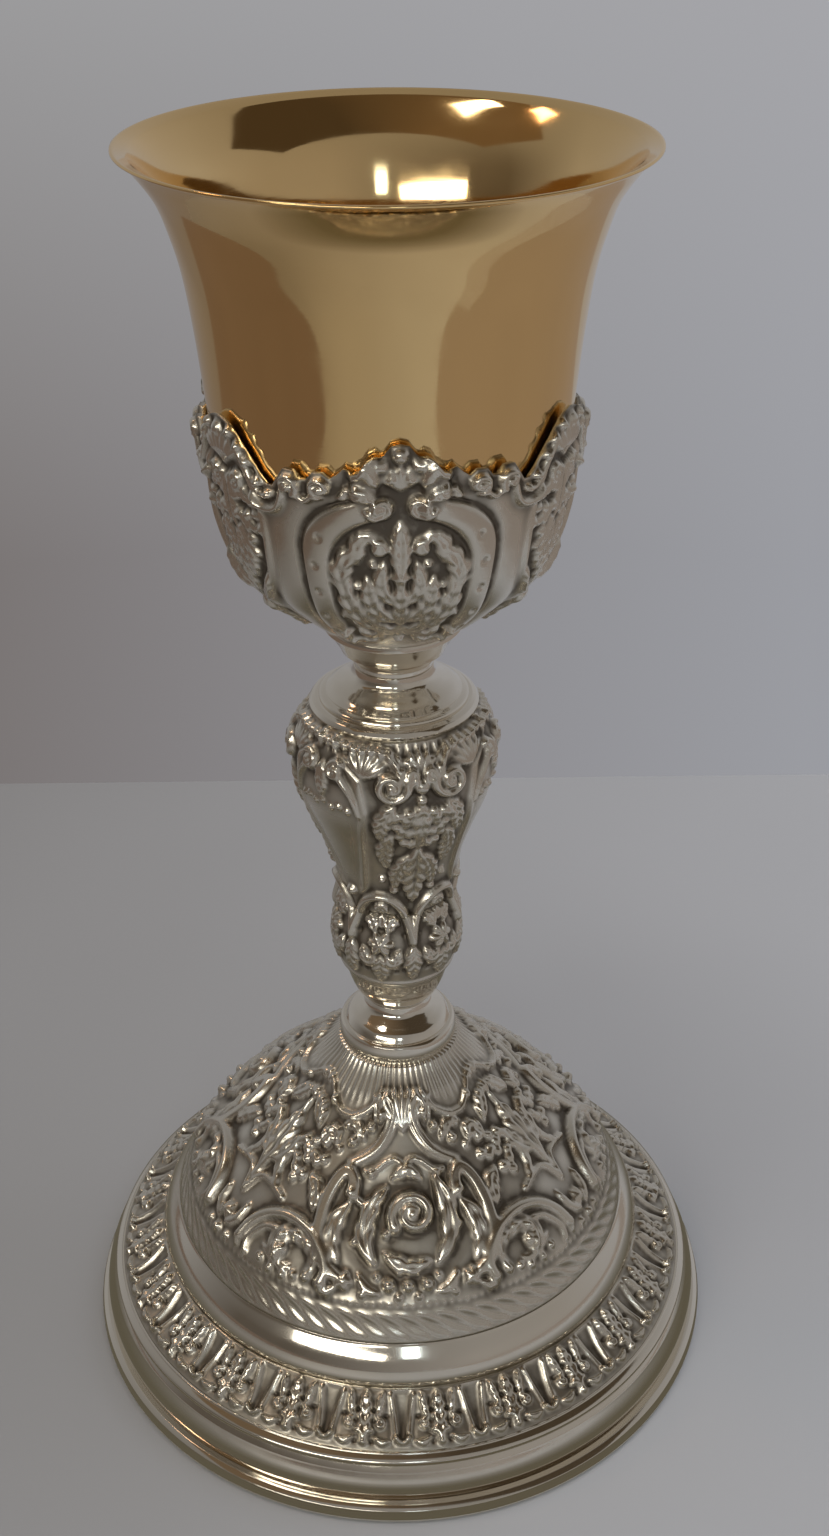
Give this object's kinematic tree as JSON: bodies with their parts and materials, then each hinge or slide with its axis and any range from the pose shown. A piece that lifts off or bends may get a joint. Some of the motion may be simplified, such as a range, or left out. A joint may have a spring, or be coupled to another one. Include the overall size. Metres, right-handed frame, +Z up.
{
  "type": "communion chalice",
  "caption": "Gilt cup in a chased silver calyx on a knopped stem and a round domed foot with a leaf frieze, held by a central tie rod and nut.",
  "frame": {"origin": "centre of the foot's underside, on the surface the chalice stands on", "axes": "+Z up along the stem, -Y towards the front"},
  "size_m": [0.144, 0.144, 0.2676],
  "materials": {
    "gold": "mirror-polished gilding",
    "silver": "polished silver plate, slightly warm",
    "silver_relief": "chased silver plate, bright on the heights and oxidised in the recesses",
    "brass": "turned brass",
    "steel": "zinc-plated steel"
  },
  "bodies": {
    "root": {"cup": "gold", "cup_boss": "brass", "calyx": "silver_relief", "calyx_ring": "silver", "neck_spool": "silver", "knop_cap": "silver", "pear_knop": "silver_relief", "knop_spacer": "brass", "stem_bulb": "silver_relief", "bulb_spacer": "brass", "stem_bowl": "silver", "foot_collar": "silver", "foot_dome": "silver_relief", "band_moulding": "silver", "leaf_frieze": "silver_relief", "ogee_rim": "silver", "base_flange": "silver", "foot_plate": "brass", "tie_rod": "steel"},
    "washer": {"washer": "steel"},
    "nut": {"retaining_nut": "brass"}
  },
  "joints": [
    {"name": "washer_drop", "type": "slide", "parent": "root", "child": "washer", "axis": [0, 0, -1], "range_m": [0, 0.01]},
    {"name": "nut_turn", "type": "hinge", "parent": "washer", "child": "nut", "pos_m": [0, 0, 0.067], "axis": [0, 0, -1], "range_deg": [0, 2880]}
  ],
  "couplings": [
    {"joint": "washer_drop", "follows": "nut_turn", "m_per_rad": 0.00019894}
  ]
}
